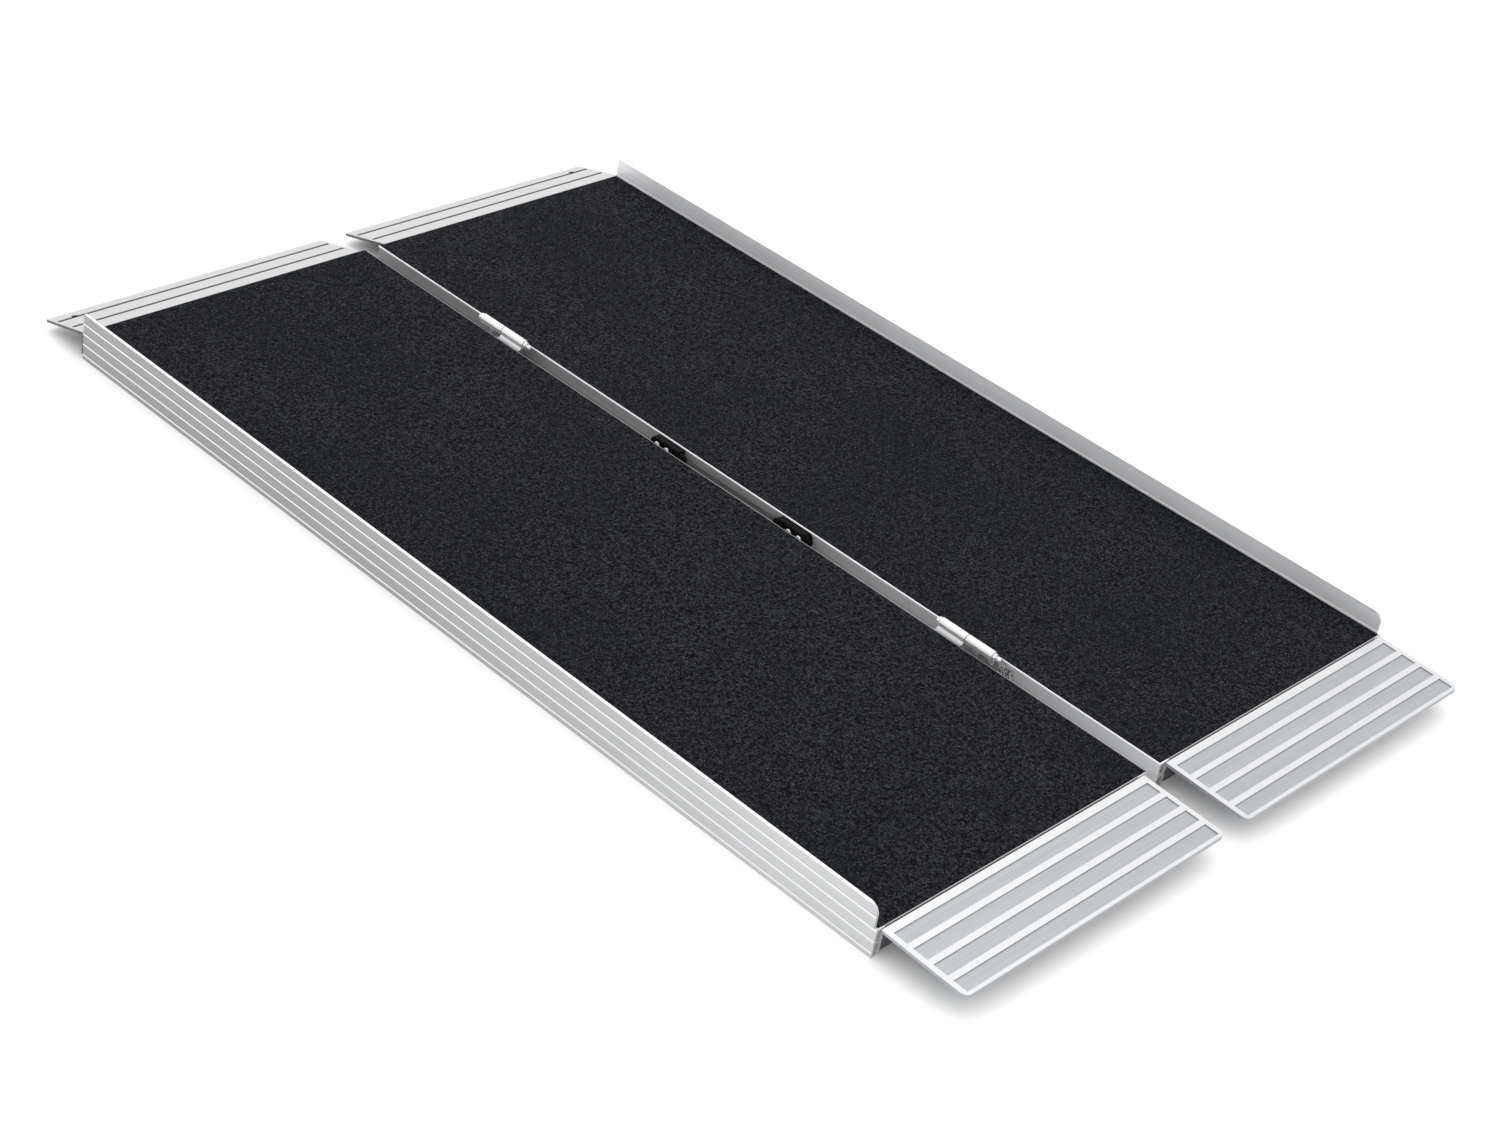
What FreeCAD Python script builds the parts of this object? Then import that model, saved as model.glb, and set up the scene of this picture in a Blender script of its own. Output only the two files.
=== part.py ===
"""Single-fold portable wheelchair ramp, lying open and flat on the floor.

Two long aluminium panels lie side by side and fold face to face about two barrel
hinges on their inner edges.  Each panel is three hollow planks between a curbed
outer rail, an inner rail and two end rails, under a sheet of grit.  A hinged plate
bridges the step at the foot end and a bent lip rests on the landing at the top end.
A carrying bail hangs in the gap between the panels.

Millimetres.  +X across to the right panel, +Y up the ramp, +Z up.  The origin is on
the floor, under the middle of the whole ramp.
"""
import FreeCAD, Part
import math
import os

# ---------------------------------------------------------------- driving dimensions
HALF_WIDTH = 365.0          # middle of the gap to the outermost rib
GAP_HALF = 10.5             # half of the gap between the two panels
DECK_LENGTH = 1072.5
DECK_TOP = 30.0             # top of the grit above the floor
CURB_TOP = 51.5
GRIT_THICKNESS = 0.8

OUTER_RAIL_WIDTH = 9.5
INNER_RAIL_WIDTH = 12.0
NOSE_X = 9.6                # rounded nose along the top of the inner rail
NOSE_BOTTOM = 28.1
NOSE_R = 0.45
GRIT_INNER_X = 10.2         # the grit starts just behind the nose's rounding
RAIL_WALL = 2.0
FIN_THICKNESS = 2.3
FIN_OUTER_R = 1.6           # rounding of the curb's crest on its outer side
FIN_INNER_R = 0.4
KEEPER = (30.2, 31.9)       # heights of the thin rib inside the curb, over the grit's edge
KEEPER_PROUD = 0.5
CHAMBER_CORNER = 2.4
RIB_PROUD = 0.5
RIB_WIDTH = 1.5
RIB_COUNT = 4
RIB_PITCH = 11.5
LOWEST_RIB = 5.4
CURB_FOOT_SETBACK = 3.5     # the curb stops short of its rail at the foot of the ramp
CURB_FOOT_RADIUS = 11.0
CURB_TOP_RADIUS = 2.5

PLANK_COUNT = 3
PLANK_BOTTOM = 7.2
PLANK_SKIN = 1.6
PLANK_WALL = 1.1
SCREW_PORT_Z = 14.5
SCREW_PORT_R = 3.8

FOOT_RAIL_DEPTH = 18.0
FOOT_RAIL_SETBACK = 2.5
TOP_RAIL_DEPTH = 16.0
END_RAIL_WALL = 2.2

PLATE_INNER_X = 16.0        # the foot plates
PLATE_OUTER_X = 361.0
PLATE_THICKNESS = 3.2
PLATE_EDGE = 5.5            # plain border at each end of the grooves
GROOVE_DEPTH = 1.0

FOOT_PLATE_LENGTH = 93.0
FOOT_PLATE_TILT = 2.1       # degrees below the deck
FOOT_PLATE_GAP = 1.4
FOOT_PLATE_CORNER = 9.0
FOOT_PIVOT_Y = 4.5          # in from the deck's foot end
FOOT_PIVOT_Z = 25.2
BEAD_R = 2.6
SOCKET_WALL = 2.0
SOCKET_MOUTH = (31.0, -14.0, -58.5)     # degrees above straight out, across the mouth
FOOT_GROOVES = (15.0, 15.1, 15.1, 14.7)
FOOT_RIDGE = 6.35
FOOT_LAND = 9.4             # plain strip beside the hinge

LIP_INNER_X = 17.4
LIP_OUTER_X = 364.0
LIP_LENGTH = 67.5
LIP_TILT = 15.0             # degrees below the deck
LIP_CORNER = 2.0
LIP_EDGE = 2.5              # plain border at each end of the grooves
LIP_FLANGE = 3.0
LIP_FLANGE_BOTTOM = 4.0
LIP_INSIDE_R = 1.2          # radius under the bend, between the flange and the plate
LIP_RIVET_Z = 20.5
LIP_RIVETS = 5
LIP_RIVET_MARGIN = 25.0
LIP_GROOVES = (23.4, 49.1)  # down from the bend
LIP_GROOVE_WIDTH = 4.6
PIN_HOLE_R = 4.0
PIN_HOLE_X = 340.0
PIN_HOLE_ALONG = 51.3
TIP_BEVEL = 1.5

HINGE_CENTRES = {"foot": 219.0, "top": 859.0}   # from the deck's foot end
HINGE_AXIS_Z = 34.7
HINGE_LENGTH = 64.0
KNUCKLE_R = 5.0
KNUCKLE_GAP = 0.8
HINGE_PIN_R = 3.0
SMALL_CHAMFER = 0.4
LEAF_THICKNESS = 3.0
LEAF_BOTTOM = 13.0
LEAF_TOP = 30.6
LEAF_RIVET_Z = 22.0
LEAF_RIVET_HALF_PITCH = 9.5

HANDLE_CENTRE = 530.8       # from the deck's foot end
HANDLE_HALF_LENGTH = 108.5
MOUNT_LENGTH = 40.5
MOUNT_BOTTOM = 11.0
MOUNT_TOP = 28.0
MOUNT_THICKNESS = 9.0
MOUNT_END_RADIUS = 7.5
MOUNT_EDGE_RADIUS = 1.6
MOUNT_SCREW_Z = 21.3
MOUNT_SCREW_HEAD_R = 3.4
MOUNT_SCREWS = (10.5, 24.0)  # from the mount's outer end
BAIL_X = 5.0
BAIL_PIVOT_Z = 24.0
BAIL_R = 2.5
BAIL_STUB = 13.0
BAIL_BEND_R = 4.5
GRIP_Z = 6.2
GRIP_R = 4.8
GRIP_HALF_LENGTH = 54.0
FINGER_COUNT = 4

RUNNING_CLEARANCE = 0.05
TOUCH = 0.01                # how near an edge must be to a plane to lie in it
SCREW_R = 2.4
SCREW_HEAD_R = 4.1
SCREW_HEAD = 1.8
SCREW_GRIP = 22.0           # how far a plank screw runs into its port
RIVET_R = 2.0
HOLE_CLEARANCE = 0.05

# ---------------------------------------------------------------- derived dimensions
SKIN_TOP = DECK_TOP - GRIT_THICKNESS
OUTER_FACE = HALF_WIDTH - RIB_PROUD
FIN_FACE = OUTER_FACE - FIN_THICKNESS
OUTER_RAIL_X = OUTER_FACE - OUTER_RAIL_WIDTH
INNER_RAIL_X = GAP_HALF + INNER_RAIL_WIDTH
PLANK_WIDTH = (OUTER_RAIL_X - INNER_RAIL_X) / PLANK_COUNT

foot_tilt = math.radians(FOOT_PLATE_TILT)
lip_tilt = math.radians(LIP_TILT)
foot_arm = FOOT_PLATE_LENGTH + FOOT_PIVOT_Y
tip_above_pivot = DECK_TOP - TIP_BEVEL - FOOT_PIVOT_Z
foot_reach = foot_arm * math.cos(foot_tilt) + tip_above_pivot * math.sin(foot_tilt) - FOOT_PIVOT_Y
lip_reach = LIP_LENGTH * math.cos(lip_tilt) - TIP_BEVEL * math.sin(lip_tilt)
DECK_FOOT_Y = (foot_reach - lip_reach - DECK_LENGTH) / 2
DECK_TOP_Y = DECK_FOOT_Y + DECK_LENGTH
PLANK_START = DECK_FOOT_Y + FOOT_RAIL_DEPTH
PLANK_END = DECK_TOP_Y - TOP_RAIL_DEPTH
HANDLE_Y = DECK_FOOT_Y + HANDLE_CENTRE

X_AXIS = FreeCAD.Vector(1, 0, 0)
Y_AXIS = FreeCAD.Vector(0, 1, 0)
Z_AXIS = FreeCAD.Vector(0, 0, 1)
ORIGIN = FreeCAD.Vector(0, 0, 0)


# ---------------------------------------------------------------- shape helpers
def block(x, y, z):
    """A box between pairs of limits."""
    corner = FreeCAD.Vector(x[0], y[0], z[0])
    return Part.makeBox(x[1] - x[0], y[1] - y[0], z[1] - z[0], corner)


def rod(radius, start, end):
    """A round bar between two points."""
    along = FreeCAD.Vector(*end) - FreeCAD.Vector(*start)
    return Part.makeCylinder(radius, along.Length, FreeCAD.Vector(*start), along)


def across_section(points, y0, y1):
    """A section drawn in X and Z, drawn out along the ramp."""
    corners = [FreeCAD.Vector(x, y0, z) for x, z in points]
    face = Part.Face(Part.makePolygon(corners + corners[:1]))
    return face.extrude(FreeCAD.Vector(0, y1 - y0, 0))


def along_section(points, x0, x1):
    """A section drawn in Y and Z, drawn out across the ramp."""
    corners = [FreeCAD.Vector(x0, y, z) for y, z in points]
    face = Part.Face(Part.makePolygon(corners + corners[:1]))
    return face.extrude(FreeCAD.Vector(x1 - x0, 0, 0))


def corner_cutter(x, y, radius, toward_x, toward_y):
    """What a rounded plan corner at (x, y) leaves over, for the signs it points to."""
    margin = 1.0
    centre_x = x - toward_x * radius
    centre_y = y - toward_y * radius
    xs = sorted((centre_x, x + toward_x * margin))
    ys = sorted((centre_y, y + toward_y * margin))
    waste = block(xs, ys, (0, CURB_TOP))
    return waste.cut(rod(radius, (centre_x, centre_y, -1), (centre_x, centre_y, CURB_TOP + 1)))


def domed_head(radius, height, base, direction):
    """A low spherical head on a flat base."""
    ball_r = (radius ** 2 + height ** 2) / (2 * height)
    base = FreeCAD.Vector(*base)
    direction = FreeCAD.Vector(*direction)
    ball = Part.makeSphere(ball_r, base - direction * (ball_r - height))
    return ball.common(Part.makeCylinder(radius, height + 1, base, direction))


def long_edges(shape):
    """The edges that run the length of the ramp."""
    return [e for e in shape.Edges if e.Length > DECK_LENGTH / 2]


def rim_edges(shape):
    """The full circles at the ends of a round bar."""
    return [e for e in shape.Edges if e.Closed and e.Curve.TypeId == "Part::GeomCircle"]


def fused(shapes):
    """One solid from pieces that share material."""
    first = shapes[0]
    return first.fuse(shapes[1:]).removeSplitter()


def without(shape, cutters):
    """The shape with every cutter taken away."""
    return shape.cut(cutters).removeSplitter() if cutters else shape


# ---------------------------------------------------------------- places of fasteners
def plank_centres():
    return [INNER_RAIL_X + PLANK_WIDTH * (i + 0.5) for i in range(PLANK_COUNT)]


def plank_screw_places():
    """X of the two screw ports in each plank."""
    offset = PLANK_WIDTH / 4
    return [centre + side * offset for centre in plank_centres() for side in (-1, 1)]


def lip_rivet_places():
    first = LIP_INNER_X + LIP_RIVET_MARGIN
    last = LIP_OUTER_X - LIP_RIVET_MARGIN
    return [first + (last - first) * i / (LIP_RIVETS - 1) for i in range(LIP_RIVETS)]


def hinge_half(end, side):
    """Y limits of one hinge's knuckle on the left (-1) or right (+1) panel."""
    centre = DECK_FOOT_Y + HINGE_CENTRES[end]
    toward_foot = side > 0 if end == "foot" else side < 0
    limits = (centre - HINGE_LENGTH / 2, centre - KNUCKLE_GAP / 2)
    if not toward_foot:
        limits = (centre + KNUCKLE_GAP / 2, centre + HINGE_LENGTH / 2)
    return limits


def leaf_rivet_places(side):
    places = []
    for end in HINGE_CENTRES:
        middle = sum(hinge_half(end, side)) / 2
        places += [middle - LEAF_RIVET_HALF_PITCH, middle + LEAF_RIVET_HALF_PITCH]
    return places


def mount_screw_places():
    outer = HANDLE_HALF_LENGTH
    return [HANDLE_Y + end * (outer - s) for end in (-1, 1) for s in MOUNT_SCREWS]


# ---------------------------------------------------------------- one panel, on the right
def outer_rail():
    """Two-chamber tube with a curb fin above it and thin ribs down its outer face."""
    y0, y1 = DECK_FOOT_Y, DECK_TOP_Y
    tube = block((OUTER_RAIL_X, OUTER_FACE), (y0, y1), (0, SKIN_TOP))
    fin = block((FIN_FACE, OUTER_FACE), (y0, y1), (0, CURB_TOP))
    body = tube.fuse(fin).removeSplitter()
    crest = [e for e in long_edges(body) if e.BoundBox.ZMin > CURB_TOP - TOUCH]
    body = body.makeFillet(FIN_OUTER_R, [e for e in crest if e.BoundBox.XMax > OUTER_FACE - TOUCH])
    crest = [e for e in long_edges(body) if e.BoundBox.ZMin > CURB_TOP - TOUCH
             and e.BoundBox.XMax < FIN_FACE + TOUCH]
    body = body.makeFillet(FIN_INNER_R, crest)
    chamber_x = (OUTER_RAIL_X + RAIL_WALL, OUTER_FACE - RAIL_WALL)
    waist = DECK_TOP / 2
    half_web = 0.9
    levels = ((RAIL_WALL, waist - half_web), (waist + half_web, SKIN_TOP - RAIL_WALL))
    chambers = []
    for low, high in levels:
        hollow = block(chamber_x, (y0 - 1, y1 + 1), (low, high))
        chambers.append(hollow.makeFillet(CHAMBER_CORNER, long_edges(hollow)))
    body = body.cut(chambers)
    ribs = []
    for i in range(RIB_COUNT):
        z = LOWEST_RIB + i * RIB_PITCH
        x = (OUTER_FACE - RIB_PROUD, HALF_WIDTH)
        ribs.append(block(x, (y0, y1), (z - RIB_WIDTH / 2, z + RIB_WIDTH / 2)))
    ribs.append(block((FIN_FACE - KEEPER_PROUD, FIN_FACE + KEEPER_PROUD), (y0, y1), KEEPER))
    body = body.fuse(ribs).removeSplitter()
    curb_foot = y0 + CURB_FOOT_SETBACK
    short = block((FIN_FACE - 1, HALF_WIDTH + 1), (y0 - 1, curb_foot), (SKIN_TOP, CURB_TOP + 1))
    waste = [short, curb_end(curb_foot, -1, CURB_FOOT_RADIUS), curb_end(y1, 1, CURB_TOP_RADIUS)]
    return body.cut(waste)


def curb_end(y, toward, radius):
    """What rounding the curb's upper corner at one end takes away."""
    margin = 1.0
    ys = sorted((y - toward * radius, y + toward * margin))
    xs = (FIN_FACE - margin, HALF_WIDTH + margin)
    centre = (y - toward * radius, CURB_TOP - radius)
    waste = block(xs, ys, (CURB_TOP - radius, CURB_TOP + margin))
    return waste.cut(rod(radius, (xs[0] - 1, *centre), (xs[1] + 1, *centre)))


def inner_rail(side):
    """Waisted two-chamber tube with a nose beside the gap, drilled for its own side's fasteners."""
    g = GAP_HALF
    w = INNER_RAIL_WIDTH
    mid = DECK_TOP / 2
    notch = 5.0
    depth = 1.3
    shoulder_r = 8.0
    waist_r = 6.0
    foot = 0.8
    outline = [(g + foot, 0), (g, foot), (g, mid - notch), (g + depth, mid), (g, mid + notch),
               (g, NOSE_BOTTOM), (NOSE_X, NOSE_BOTTOM), (NOSE_X, DECK_TOP), (GRIT_INNER_X, DECK_TOP),
               (GRIT_INNER_X, SKIN_TOP), (g + w, SKIN_TOP),
               (g + w, mid + notch), (g + w - depth, mid), (g + w, mid - notch), (g + w, 0)]
    body = across_section(outline, DECK_FOOT_Y, DECK_TOP_Y)
    nose = [e for e in long_edges(body) if e.BoundBox.XMax < NOSE_X + TOUCH]
    body = body.makeFillet(NOSE_R, nose)
    for radius, heights in ((waist_r, (mid,)), (shoulder_r, (mid - notch, mid + notch))):
        bends = [e for e in long_edges(body) if e.BoundBox.XMax < g + depth + TOUCH
                 and min(abs(e.BoundBox.ZMin - z) for z in heights) < TOUCH]
        body = body.makeFillet(radius, bends)
    a = g + RAIL_WALL
    b = g + w - RAIL_WALL
    slope = 2.0
    upper = [(a, mid + 2 * slope), (a + slope, mid + slope), (b - slope, mid + slope),
             (b, mid + 2 * slope), (b, SKIN_TOP - RAIL_WALL), (a, SKIN_TOP - RAIL_WALL)]
    lower = [(a, RAIL_WALL), (b, RAIL_WALL), (b, mid - 2 * slope),
             (b - slope, mid - slope), (a + slope, mid - slope), (a, mid - 2 * slope)]
    cutters = [across_section(s, DECK_FOOT_Y - 1, DECK_TOP_Y + 1) for s in (upper, lower)]
    holes = [(y, LEAF_RIVET_Z) for y in leaf_rivet_places(side)]
    if side > 0:
        holes += [(y, MOUNT_SCREW_Z) for y in mount_screw_places()]
    cutters += [side_hole(g, g + RAIL_WALL, y, z) for y, z in holes]
    return without(body, cutters)


def plank(index):
    """Hollow plank with two inner ribs, each carrying a screw port."""
    x0 = INNER_RAIL_X + PLANK_WIDTH * index
    x1 = x0 + PLANK_WIDTH
    ys = (PLANK_START, PLANK_END)
    body = block((x0, x1), ys, (PLANK_BOTTOM, SKIN_TOP))
    inside = (PLANK_BOTTOM + PLANK_WALL, SKIN_TOP - PLANK_SKIN)
    hollow = block((x0 + PLANK_WALL, x1 - PLANK_WALL), (ys[0] - 1, ys[1] + 1), inside)
    kept = []
    bores = []
    for x in (x0 + PLANK_WIDTH / 4, x1 - PLANK_WIDTH / 4):
        kept.append(block((x - PLANK_WALL / 2, x + PLANK_WALL / 2), ys, inside))
        kept.append(rod(SCREW_PORT_R, (x, ys[0], SCREW_PORT_Z), (x, ys[1], SCREW_PORT_Z)))
        bores.append(screw_hole(x, ys))
    return body.cut(hollow.cut(kept)).cut(bores)


def screw_hole(x, ys):
    """A plank screw's clearance hole at X, past both of two Y limits."""
    return rod(SCREW_R + HOLE_CLEARANCE, (x, ys[0] - 1, SCREW_PORT_Z), (x, ys[1] + 1, SCREW_PORT_Z))


def grit_sheet():
    """Grit sheet glued over the skin, between the inner rail's nose and the curb."""
    setback = 1.5
    side_gap = KEEPER_PROUD + 0.1
    xs = (GRIT_INNER_X, FIN_FACE - side_gap)
    return block(xs, (DECK_FOOT_Y + setback, DECK_TOP_Y - setback / 3), (SKIN_TOP, DECK_TOP))


def foot_rail():
    """End rail whose upper front corner is the open socket of the foot plate's bead."""
    front = DECK_FOOT_Y + FOOT_RAIL_SETBACK
    back = PLANK_START
    xs = (INNER_RAIL_X, OUTER_RAIL_X)
    pivot = (DECK_FOOT_Y + FOOT_PIVOT_Y, FOOT_PIVOT_Z)
    bore_r = BEAD_R + RUNNING_CLEARANCE
    body = block(xs, (front, back), (0, SKIN_TOP))
    shell = rod(bore_r + SOCKET_WALL, (xs[0], *pivot), (xs[1], *pivot))
    trim = block(xs, (DECK_FOOT_Y, back), (0, SKIN_TOP))
    body = body.fuse(shell.common(trim)).removeSplitter()
    reach = 9.0
    mouth = [pivot]
    for degrees in SOCKET_MOUTH:
        angle = math.radians(degrees)
        mouth.append((pivot[0] - reach * math.cos(angle), pivot[1] + reach * math.sin(angle)))
    past_ends = (xs[0] - 1, xs[1] + 1)
    bore = rod(bore_r, (past_ends[0], *pivot), (past_ends[1], *pivot))
    cutters = [bore, along_section(mouth, *past_ends)]
    wall = END_RAIL_WALL
    socket_side = pivot[0] + bore_r + SOCKET_WALL
    lower_top = pivot[1] - bore_r - SOCKET_WALL - wall / 2
    cutters.append(block(past_ends, (front + wall, back - wall), (wall, lower_top)))
    upper = (lower_top + wall, SKIN_TOP - wall)
    cutters.append(block(past_ends, (socket_side, back - wall), upper))
    cutters += [screw_hole(x, (front, back)) for x in plank_screw_places()]
    return without(body, cutters)


def foot_plate():
    """Grooved plate with a bead along its hinge edge, drooping a little at rest."""
    root = DECK_FOOT_Y - FOOT_PLATE_GAP
    tip = DECK_FOOT_Y - FOOT_PLATE_LENGTH
    under = DECK_TOP - PLATE_THICKNESS
    outline = [(root, DECK_TOP), (tip + TIP_BEVEL, DECK_TOP), (tip, DECK_TOP - TIP_BEVEL),
               (tip, under + 0.5), (tip + 0.5, under), (root, under)]
    plate = along_section(outline, PLATE_INNER_X, PLATE_OUTER_X)
    for x, toward in ((PLATE_INNER_X, -1), (PLATE_OUTER_X, 1)):
        plate = plate.cut(corner_cutter(x, tip, FOOT_PLATE_CORNER, toward, -1))
    grooves = []
    y = DECK_FOOT_Y - FOOT_LAND
    for width in FOOT_GROOVES:
        xs = (PLATE_INNER_X + PLATE_EDGE, PLATE_OUTER_X - PLATE_EDGE)
        grooves.append(block(xs, (y - width, y), (DECK_TOP - GROOVE_DEPTH, DECK_TOP + 1)))
        y -= width + FOOT_RIDGE
    plate = plate.cut(grooves)
    end_play = 1.0
    xs = (INNER_RAIL_X + end_play, OUTER_RAIL_X - end_play)
    pivot = (DECK_FOOT_Y + FOOT_PIVOT_Y, FOOT_PIVOT_Z)
    half_neck = 1.1
    riser = 2.5
    neck = block(xs, (root - riser, pivot[0]), (FOOT_PIVOT_Z - half_neck, FOOT_PIVOT_Z + half_neck))
    hook = block(xs, (root - riser, root), (FOOT_PIVOT_Z - half_neck, under))
    bead = rod(BEAD_R, (xs[0], *pivot), (xs[1], *pivot))
    body = fused([plate, hook, neck, bead])
    body.rotate(FreeCAD.Vector(0, *pivot), X_AXIS, FOOT_PLATE_TILT)
    return body


def plank_screws(y_face, inward, countersunk):
    """One screw per port, through an end rail into the planks."""
    screws = []
    for x in plank_screw_places():
        shank_end = (PLANK_START if inward > 0 else PLANK_END) + inward * SCREW_GRIP
        base = (x, y_face, SCREW_PORT_Z)
        shank = rod(SCREW_R, base, (x, shank_end, SCREW_PORT_Z))
        if countersunk:
            into = FreeCAD.Vector(0, inward, 0)
            head = Part.makeCone(SCREW_HEAD_R, SCREW_R, SCREW_HEAD, FreeCAD.Vector(*base), into)
        else:
            head = domed_head(SCREW_HEAD_R, SCREW_HEAD, base, (0, -inward, 0))
        screws.append(shank.fuse(head).removeSplitter())
    return Part.makeCompound(screws)


def top_rail():
    """Plain box rail at the top end, countersunk for the plank screws."""
    xs = (INNER_RAIL_X, OUTER_RAIL_X)
    wall = END_RAIL_WALL
    ys = (PLANK_END, DECK_TOP_Y)
    body = block(xs, ys, (0, SKIN_TOP))
    cutters = [block((xs[0] - 1, xs[1] + 1), (ys[0] + wall, ys[1] - wall), (wall, SKIN_TOP - wall))]
    for x in plank_screw_places():
        cutters.append(screw_hole(x, ys))
        start = FreeCAD.Vector(x, ys[1], SCREW_PORT_Z)
        sink = (SCREW_HEAD_R + HOLE_CLEARANCE, SCREW_R + HOLE_CLEARANCE, SCREW_HEAD + HOLE_CLEARANCE)
        cutters.append(Part.makeCone(*sink, start, FreeCAD.Vector(0, -1, 0)))
    cutters += [rivet_hole(x, (ys[1] - wall, ys[1])) for x in lip_rivet_places()]
    return without(body, cutters)


def rivet_hole(x, ys):
    """A lip rivet's clearance hole at X, past both of two Y limits."""
    return rod(RIVET_R + HOLE_CLEARANCE, (x, ys[0] - 1, LIP_RIVET_Z), (x, ys[1] + 1, LIP_RIVET_Z))


def lip_point(along, below):
    """Y and Z of a point on the lip, from its bend and its top face."""
    y = DECK_TOP_Y + along * math.cos(lip_tilt) - below * math.sin(lip_tilt)
    z = DECK_TOP - along * math.sin(lip_tilt) - below * math.cos(lip_tilt)
    return y, z


def top_lip():
    """Bent lip: a flange against the end rail and a sloping grooved plate."""
    face = DECK_TOP_Y + LIP_FLANGE
    inside_along = (LIP_FLANGE + PLATE_THICKNESS * math.sin(lip_tilt)) / math.cos(lip_tilt)
    outline = [(DECK_TOP_Y, LIP_FLANGE_BOTTOM), (face, LIP_FLANGE_BOTTOM),
               lip_point(inside_along, PLATE_THICKNESS), lip_point(LIP_LENGTH, PLATE_THICKNESS),
               lip_point(LIP_LENGTH, TIP_BEVEL), lip_point(LIP_LENGTH - TIP_BEVEL, 0),
               (DECK_TOP_Y, DECK_TOP)]
    body = along_section(outline, LIP_INNER_X, LIP_OUTER_X)
    corner_z = lip_point(inside_along, PLATE_THICKNESS)[1]
    corner = [e for e in body.Edges if e.BoundBox.XLength > LIP_LENGTH
              and abs(e.BoundBox.YMax - face) < TOUCH and abs(e.BoundBox.ZMax - corner_z) < TOUCH]
    body = body.makeFillet(LIP_INSIDE_R, corner)
    tip_y = lip_point(LIP_LENGTH, TIP_BEVEL)[0]
    for x, toward in ((LIP_INNER_X, -1), (LIP_OUTER_X, 1)):
        body = body.cut(corner_cutter(x, tip_y, LIP_CORNER, toward, 1))
    xs = (LIP_INNER_X + LIP_EDGE, LIP_OUTER_X - LIP_EDGE)
    cutters = []
    for along in LIP_GROOVES:
        limits = (along - LIP_GROOVE_WIDTH / 2, along + LIP_GROOVE_WIDTH / 2)
        cutters.append(block(xs, limits, (-GROOVE_DEPTH, 1)))
    below = -PLATE_THICKNESS - 1
    cutters.append(rod(PIN_HOLE_R, (PIN_HOLE_X, PIN_HOLE_ALONG, below), (PIN_HOLE_X, PIN_HOLE_ALONG, 1)))
    for cutter in cutters:
        cutter.rotate(ORIGIN, X_AXIS, -LIP_TILT)
        cutter.translate(FreeCAD.Vector(0, DECK_TOP_Y, DECK_TOP))
    cutters += [rivet_hole(x, (DECK_TOP_Y, face)) for x in lip_rivet_places()]
    return without(body, cutters)


def rivet(head_at, tail_at):
    """A domed rivet: its head's base and its tail's base are the faces it clamps."""
    end = FreeCAD.Vector(*tail_at)
    along = (end - FreeCAD.Vector(*head_at)).normalize()
    tail = Part.makeCylinder(RIVET_R * 1.4, RIVET_R * 0.9, end, along)
    head = domed_head(RIVET_R * 1.8, RIVET_R * 0.75, head_at, tuple(-along))
    return fused([rod(RIVET_R, head_at, tail_at), tail, head])


def lip_rivets():
    """Rivets that hold the lip's flange to the top rail."""
    z = LIP_RIVET_Z
    face = DECK_TOP_Y + LIP_FLANGE
    inside = DECK_TOP_Y - END_RAIL_WALL
    return Part.makeCompound([rivet((x, face, z), (x, inside, z)) for x in lip_rivet_places()])


# ---------------------------------------------------------------- hinges
def side_hole(x0, x1, y, z):
    """A rivet-sized clearance hole across the ramp, past both of two X limits."""
    return rod(RIVET_R + HOLE_CLEARANCE, (x0 - 1, y, z), (x1 + 1, y, z))


def hinge_leaf(end, side):
    """Leaf on the inner rail's face, with a strut up to its knuckle."""
    y0, y1 = hinge_half(end, side)
    face = GAP_HALF - LEAF_THICKNESS
    leaf = block((face, GAP_HALF), (y0, y1), (LEAF_BOTTOM, LEAF_TOP))
    top_edges = [e for e in leaf.Edges
                 if e.BoundBox.ZMin > LEAF_TOP - TOUCH and e.Length > LEAF_THICKNESS * 2]
    leaf = leaf.makeFillet(LEAF_THICKNESS * 0.3, top_edges)
    z = HINGE_AXIS_Z
    strut = [(face + 0.1, LEAF_TOP - 4.8), (face + 0.1, LEAF_TOP - 1.6),
             (KNUCKLE_R * 0.64, z - KNUCKLE_R * 0.34), (-KNUCKLE_R * 0.3, z - KNUCKLE_R * 0.74)]
    knuckle = rod(KNUCKLE_R, (0, y0, z), (0, y1, z))
    knuckle = knuckle.makeChamfer(SMALL_CHAMFER, rim_edges(knuckle))
    body = fused([leaf, across_section(strut, y0, y1), knuckle])
    cutters = [rod(HINGE_PIN_R + RUNNING_CLEARANCE, (0, y0 - 1, z), (0, y1 + 1, z))]
    play = 0.05
    cutters.append(block((NOSE_X - play, GAP_HALF + 1), (y0 - 1, y1 + 1), (NOSE_BOTTOM - play, LEAF_TOP + 1)))
    middle = (y0 + y1) / 2
    for y in (middle - LEAF_RIVET_HALF_PITCH, middle + LEAF_RIVET_HALF_PITCH):
        cutters.append(side_hole(face, GAP_HALF, y, LEAF_RIVET_Z))
    body = without(body, cutters)
    return body if side > 0 else body.mirror(ORIGIN, X_AXIS)


def leaf_rivets(side):
    """Rivets through the leaf and the rail's web, closed inside the upper chamber."""
    face = GAP_HALF - LEAF_THICKNESS
    inside = GAP_HALF + RAIL_WALL
    z = LEAF_RIVET_Z
    group = Part.makeCompound([rivet((face, y, z), (inside, y, z)) for y in leaf_rivet_places(side)])
    return group if side > 0 else group.mirror(ORIGIN, X_AXIS)


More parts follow.
